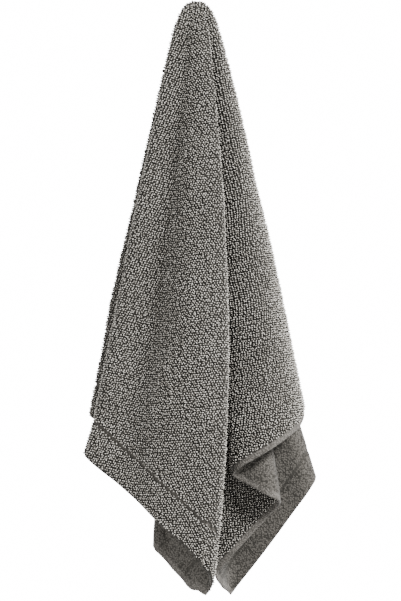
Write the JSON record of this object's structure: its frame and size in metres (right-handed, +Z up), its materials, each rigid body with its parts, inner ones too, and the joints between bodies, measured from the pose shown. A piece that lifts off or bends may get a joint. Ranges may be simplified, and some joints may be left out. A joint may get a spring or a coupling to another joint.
{
  "type": "hanging terry face cloth",
  "caption": "Square looped-pile face cloth hung by its middle, falling in deep uneven folds to four corners, with a flat woven band along two sides.",
  "frame": {"origin": "top of the cloth's middle, where it sits over the end of a hook", "axes": "+Z up, along the hanging load; -Y towards the viewer; +X to the viewer's right"},
  "size_m": [0.0911, 0.0947, 0.2317],
  "materials": {
    "grey_terry": "warm mid grey looped cotton pile, matt"
  },
  "bodies": {
    "root": {"face_cloth": "grey_terry"}
  },
  "joints": []
}
